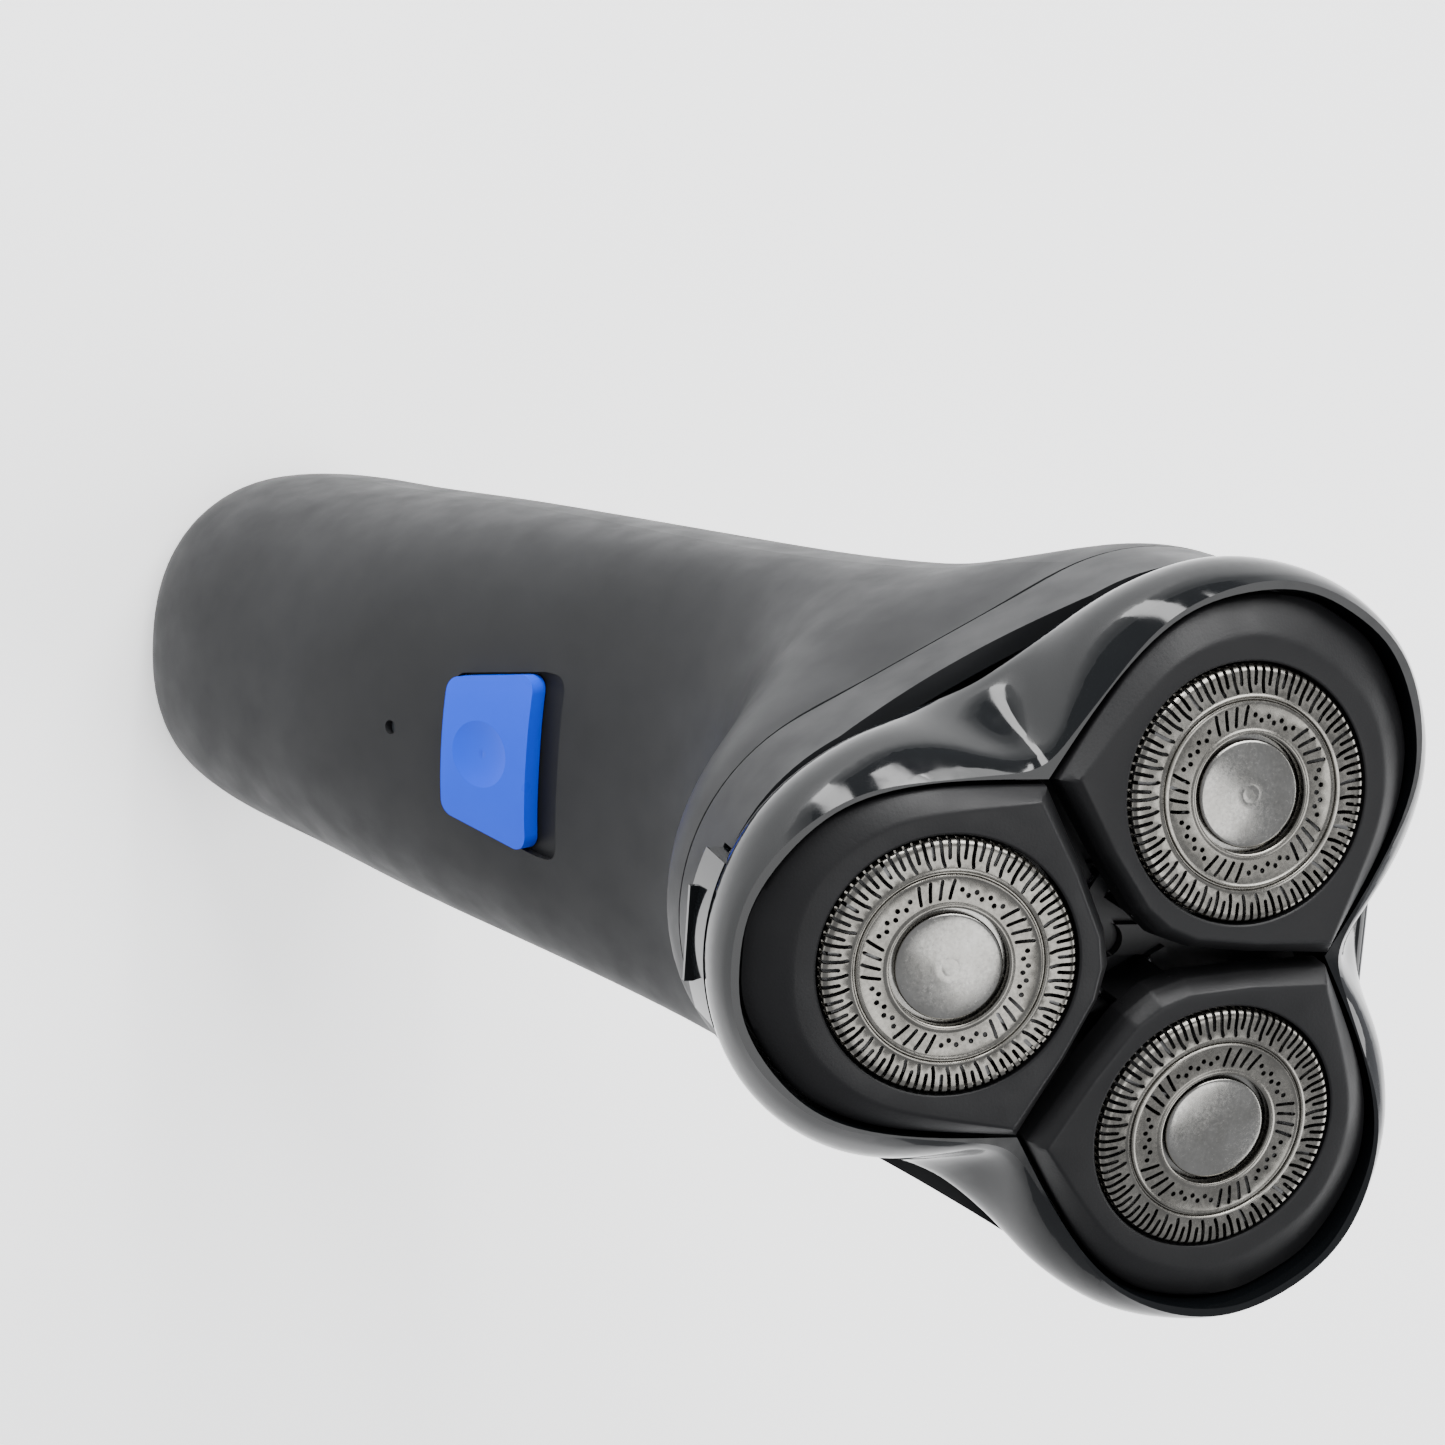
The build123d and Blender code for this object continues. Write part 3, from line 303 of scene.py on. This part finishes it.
def foil_openings(lengths):
    """Outlines of all slots and holes of a foil on its unrolled sheet."""
    # what the ridges add to a radius when the section is unrolled
    outer_flat = (8.22, 0.00)
    inner_flat = (7.30, 0.00)
    extra = lengths[FOIL_SECTION.index(outer_flat)] - outer_flat[0]
    inner = lengths[FOIL_SECTION.index(inner_flat)] - inner_flat[0]
    end = lengths[-2]
    loops = []
    for k in range(SLOT_PAIRS):
        a = PAIR_PITCH * k
        low = SHORT_START + extra
        loops.append(slot_loop([(low, a + 2.5), (low + 0.14, a + 2.5), (low + 0.8, a + 2.5),
                                (low + 1.5, a + 2.5), (end - 0.1, a + 2.5), (end, a + 2.5)],
                               SLOT_WIDTH))
        low = LONG_START + extra
        loops.append(slot_loop([(low, a + 4.9), (low + 0.14, a + 5.2), (low + 0.55, a + 6.0),
                                (low + 1.1, a + 6.4), (low + 1.7, a + 6.5),
                                (end - 0.1, a + 6.5), (end, a + 6.5)], SLOT_WIDTH))
    for k in range(HOLE_GROUPS):
        a = GROUP_PITCH * k
        for foot in SLOT_FEET:
            b = a + foot
            loops.append(slot_loop([(5.58 + inner, b), (5.70 + inner, b - 0.5),
                                    (6.3 + inner, b - 1.9), (6.8 + inner, b - 3.0),
                                    (7.16 + inner, b - 3.9), (7.28 + inner, b - 4.1)],
                                   SLOT_WIDTH * 0.95))
        for i in range(HOLES_IN_GROUP):
            r = (6.05 if i % 2 else 6.45) + inner
            centre = flat_point(r, a + 16.5 + 5.5 * i)
            loops.append([centre + Vector((math.cos(t), math.sin(t))) * HOLE_R
                          for t in (math.tau * j / HOLE_SIDES for j in range(HOLE_SIDES))])
    return loops


def foil_mesh():
    """Foil sheet with its slots as real openings."""
    lengths = section_lengths(FOIL_SECTION)
    points, edges, holes = [], [], []
    around = FOIL_AROUND
    for distance in lengths:
        first = len(points)
        points += [flat_point(distance, 360 * j / around) for j in range(around)]
        edges += [(first + j, first + (j + 1) % around) for j in range(around)]
    for loop in foil_openings(lengths):
        first = len(points)
        points += loop
        holes.append(list(range(first, first + len(loop))))
    flat, _, faces, _, _, source = delaunay_2d_cdt(points, edges, holes, 0, 1e-5, True)
    kept = []
    for face, inside in zip(faces, source):
        centre = sum((flat[i] for i in face), Vector((0, 0))) / len(face)
        if not inside and centre.length > lengths[0] * 0.999:
            kept.append(face)
    shaped = []
    for p in flat:
        r, z = along_section(FOIL_SECTION, lengths, min(max(p.length, lengths[0]), lengths[-1]))
        shaped.append((p.x * r / p.length, p.y * r / p.length, z) if p.length else (0, 0, 0))
    mesh = bpy.data.meshes.new("foil")
    mesh.from_pydata(shaped, [], kept)
    bm = bmesh.new()
    bm.from_mesh(mesh)
    bmesh.ops.delete(bm, geom=[v for v in bm.verts if not v.link_faces], context="VERTS")
    bmesh.ops.recalc_face_normals(bm, faces=bm.faces)
    if sum(f.normal.z for f in bm.faces) < 0:
        bmesh.ops.reverse_faces(bm, faces=bm.faces)
    bmesh.ops.solidify(bm, geom=list(bm.faces), thickness=FOIL_THICK)
    bm.to_mesh(mesh)
    bm.free()
    smooth(mesh, FOIL_CREASE)
    return mesh


# Each foil is turned a little in its seat
FOIL_SPIN = {1: 0.0, 2: -3.0, 3: -20.0}


def make_foils():
    """The three foils in their seats."""
    sheet = foil_mesh()
    for index, spin in FOIL_SPIN.items():
        add_piece("foil_sheet_%d" % index, sheet.copy(), foil_place(index, spin),
                  "foil_%d" % index, "foil_steel", ["shaving_foil_%d" % index])


# Half section of a cap: domed, with a faint turned ring in the middle and a rounded edge
CAP_SECTION = (
    (0.30, 0.150), (0.55, 0.150), (0.66, 0.138), (0.80, 0.138), (0.90, 0.146), (1.30, 0.118),
    (2.00, 0.076), (2.70, 0.018), (3.30, -0.044), (3.80, -0.106), (4.15, -0.160), (4.32, -0.205),
    (4.42, -0.290), (4.44, -0.400), (4.44, -1.000), (5.00, -1.020), (5.00, -1.280),
)


def cap_mesh():
    """Domed centre cap as a revolved skin."""
    around = CAP_AROUND
    points = [(0.0, 0.0, 0.150)]
    for r, z in CAP_SECTION:
        points += [(r * math.cos(t), r * math.sin(t), z)
                   for t in (math.tau * j / around for j in range(around))]
    faces = [(0, 1 + j, 1 + (j + 1) % around) for j in range(around)]
    for i in range(len(CAP_SECTION) - 1):
        low, high = 1 + i * around, 1 + (i + 1) * around
        for j in range(around):
            k = (j + 1) % around
            faces.append((low + j, high + j, high + k, low + k))
    mesh = bpy.data.meshes.new("cap")
    mesh.from_pydata(points, [], faces)
    smooth(mesh, CAP_CREASE)
    return mesh


def make_caps():
    """The three caps in the middle of the foils."""
    cap = cap_mesh()
    for index in (1, 2, 3):
        add_piece("foil_dome_%d" % index, cap.copy(), foil_place(index),
                  "foil_%d" % index, "cap_steel", ["foil_cap_%d" % index])


# Petal outline: margins beyond the foil by angle from the outward direction, and the corner
# points of the inner sides as (distance along the gap, half gap)
PETAL_LOBE = ((76, 3.95), (51, 4.9), (32, 5.5), (14, 6.1), (0, 6.1))
PETAL_FLAT = ((73, 2.0), (46, 2.2), (24, 2.4), (0, 2.2))
PETAL_INNER = ((4.3, 1.44), (9.8, 0.94), (17.2, 0.67))
PETAL_TIP = 2.8
CURVE_STEPS = 8


def curve_through(points, steps):
    """Smooth curve through the points (Catmull-Rom)."""
    made = []
    for i in range(len(points) - 1):
        p0 = points[max(i - 1, 0)]
        p1, p2 = points[i], points[i + 1]
        p3 = points[min(i + 2, len(points) - 1)]
        for j in range(steps):
            t = j / steps
            made.append(0.5 * ((2 * p1) + (p2 - p0) * t + (2 * p0 - 5 * p1 + 4 * p2 - p3) * t * t
                               + (3 * p1 - p0 - 3 * p2 + p3) * t * t * t))
    return made + [points[-1]]


def petal_ring(lobe, shrink, tip):
    """Closed petal outline as points in the foil's plane."""
    inner = []
    for along, gap in PETAL_INNER:
        reach = gap + shrink
        x = along * math.sin(math.radians(60)) - reach * 0.5
        inner.append(Vector((x, PITCH_R - along * 0.5 - reach * math.cos(math.radians(30)))))
    near, middle, corner = inner
    corner = Vector((corner.x - shrink * 0.6, corner.y))
    half = [corner]
    for angle, margin in lobe:
        beta = math.radians(angle)
        half.append(Vector(((FOIL_R + margin) * math.sin(beta),
                            -(FOIL_R + margin) * math.cos(beta))))
    mirrored = [Vector((-p.x, p.y)) for p in reversed(half[:-1])]
    ring = curve_through(half + mirrored, CURVE_STEPS)
    top = Vector((0, PITCH_R - tip))
    left = [Vector((-middle.x, middle.y)), Vector((-near.x, near.y))]
    return ring + left + [top] + [near, middle]


def ring_radius(ring, phi):
    """Distance from the foil's centre to the outline in one direction."""
    d = Vector((math.cos(phi), math.sin(phi)))
    best = 0.0
    for a, b in zip(ring, ring[1:] + ring[:1]):
        e = b - a
        cross = d.x * e.y - d.y * e.x
        if abs(cross) < 1e-9:
            continue
        t = (a.x * e.y - a.y * e.x) / cross
        u = (a.x * d.y - a.y * d.x) / cross
        if t > 0 and -1e-6 <= u <= 1 + 1e-6:
            best = max(best, t)
    return best


# Petal hinge in the head's frame, and the lug on it: height and half width at each level
PIVOT_Y = -3.75
PIVOT_Z = -7.4
LUG_HALF_THICK = 0.8
LUG_LEVELS = ((PIVOT_Z - 0.7, 2.1), (PIVOT_Z - 0.5, 2.3), (-1.6, 2.3))


def petal_lug(first):
    """Hinge lug under a petal's inner end, as box corners and faces in the foil's frame."""
    to_foil = (Matrix.Translation((0, -PITCH_R, 0)) @ Matrix.Rotation(PETAL_TILT, 4, "X")).inverted()
    points = []
    thick = LUG_HALF_THICK
    for z, half in LUG_LEVELS:
        for x, y in ((-half, -thick), (half, -thick), (half, thick), (-half, thick)):
            points.append(tuple(to_foil @ Vector((x, PIVOT_Y + y, z))))
    faces = [(first + 3, first + 2, first + 1, first), (first + 8, first + 9, first + 10, first + 11)]
    for i in (0, 4):
        for j in range(4):
            k = (j + 1) % 4
            faces.append((first + i + j, first + i + k, first + i + 4 + k, first + i + 4 + j))
    return points, faces


# Petal section: share of the way from the outline to the flat face, inset and height,
# then the radius and height of the steps down round the foil
CHAMFER = (
    (0, 0, -4.0), (0, 0, -2.05), (0, 0.04, -1.82), (0, 0.14, -1.66), (0.12, 0.08, -1.50),
    (0.5, 0.0, -0.98), (0.88, 0.0, -0.46), (0.96, 0.02, -0.37), (1.0, 0.10, -0.32),
    (1.0, 0.30, -0.30),
)
SEAT = ((11.02, -0.30), (10.9, -0.32), (10.80, -0.40), (10.76, -0.55), (10.76, -2.85))
FLAT_SHRINK = 0.9                   # the flat face stops this far inside the outline's sides
FLAT_TIP = PETAL_TIP + 1.0
PETAL_AROUND = 150


def petal_mesh():
    """Petal cover with a flat face, a broad chamfer and softened edges."""
    base = petal_ring(PETAL_LOBE, 0, PETAL_TIP)
    flat = petal_ring(PETAL_FLAT, FLAT_SHRINK, FLAT_TIP)
    corners = [math.atan2(p.y, p.x) for p in base + flat]
    angles = sorted(set(round(a % math.tau, 3) for a in corners)
                    | set(round(math.tau * j / PETAL_AROUND, 3) for j in range(PETAL_AROUND)))
    low = [ring_radius(base, a) for a in angles]
    high = [ring_radius(flat, a) for a in angles]
    levels = []
    for share, inset, z in CHAMFER:
        levels.append([(a + (b - a) * share - inset, z) for a, b in zip(low, high)])
    for r, z in SEAT:
        levels.append([(r, z)] * len(angles))
    points = [(r * math.cos(a), r * math.sin(a), z)
              for level in levels for (r, z), a in zip(level, angles)]
    n = len(angles)
    faces = []
    for i in range(len(levels) - 1):
        for j in range(n):
            k = (j + 1) % n
            faces.append((i * n + j, i * n + k, (i + 1) * n + k, (i + 1) * n + j))
    lug_points, lug_faces = petal_lug(len(points))
    mesh = bpy.data.meshes.new("petal")
    mesh.from_pydata(points + lug_points, [], faces + lug_faces)
    smooth(mesh, PIECE_CREASE)
    return mesh


def make_petals():
    """The three petal covers round the foils."""
    cover = petal_mesh()
    for index in (1, 2, 3):
        add_piece("petal_cover_%d" % index, cover.copy(), foil_place(index),
                  "petal_%d" % index, "petal_black", ["head_petal_%d" % index])


# ------------------------------------------------------------------ stage
CAMERA_AT = Vector((-66.4, -187.7, 321.2)) * MM
CAMERA_RIGHT = Vector((-0.066, 0.789, 0.611))
CAMERA_UP = Vector((-0.978, 0.070, -0.196))
LENS = 77.17
SENSOR = 36.0
FLOOR_HALF = 3.0


def make_camera():
    """Camera that looks down at the head from the switch side."""
    data = bpy.data.cameras.new("camera")
    data.lens = LENS
    data.sensor_width = SENSOR
    data.clip_start = 0.01
    camera = bpy.data.objects.new("camera", data)
    bpy.context.scene.collection.objects.link(camera)
    right = CAMERA_RIGHT.normalized()
    back = right.cross(CAMERA_UP).normalized()
    up = back.cross(right)
    turn = Matrix((right, up, back)).transposed().to_4x4()
    camera.matrix_world = Matrix.Translation(CAMERA_AT) @ turn
    bpy.context.scene.camera = camera


def make_floor():
    """Plain pale floor."""
    mesh = bpy.data.meshes.new("floor")
    size = FLOOR_HALF
    mesh.from_pydata([(-size, -size, 0), (size, -size, 0), (size, size, 0), (-size, size, 0)],
                     [], [(0, 1, 2, 3)])
    floor = bpy.data.objects.new("floor", mesh)
    bpy.context.scene.collection.objects.link(floor)
    s = Shader("floor_pale")
    s.colour(s.blend(s.noise(8.0), (0.90, 0.90, 0.90), (0.92, 0.92, 0.92)))
    s.set(Roughness=0.7, Emission_Color=(1.0, 1.0, 1.0, 1.0), Emission_Strength=0.9)
    mesh.materials.append(s.material)


def area_light(name, at, target, size, power, shape=(1.0, 1.0)):
    """Rectangular soft light aimed at a point; shape scales its two sides."""
    data = bpy.data.lights.new(name, "AREA")
    data.shape = "RECTANGLE"
    data.size = size * shape[0]
    data.size_y = size * shape[1]
    data.energy = power
    lamp = bpy.data.objects.new(name, data)
    bpy.context.scene.collection.objects.link(lamp)
    lamp.location = at
    lamp.rotation_euler = (Vector(target) - Vector(at)).to_track_quat("-Z", "Y").to_euler()


def make_lights():
    """Pale surroundings, a broad key, two window-like strips, a back light and an overhead."""
    world = bpy.data.worlds.new("studio")
    world.use_nodes = True
    background = world.node_tree.nodes["Background"]
    background.inputs["Color"].default_value = (0.93, 0.95, 1.0, 1.0)
    background.inputs["Strength"].default_value = 0.68
    bpy.context.scene.world = world
    area_light("key", (-0.75, 0.05, 0.75), (0, 0, 0.1), 0.8, 13.0, (1.0, 0.7))
    area_light("window", (-0.55, -0.26, 0.17), (0, -0.02, 0.14), 0.12, 3.0, (1.0, 3.2))
    area_light("window_high", (-0.60, -0.04, 0.36), (0, -0.02, 0.14), 0.07, 1.6, (1.0, 4.5))
    area_light("back", (0.15, 0.8, 0.6), (0, 0, 0.12), 0.8, 10.0, (1.6, 0.7))
    area_light("overhead", (0.12, -0.12, 0.95), (0, 0, 0.1), 0.4, 2.0)


dress_cad()
make_foils()
make_caps()
make_petals()
make_camera()
make_floor()
make_lights()
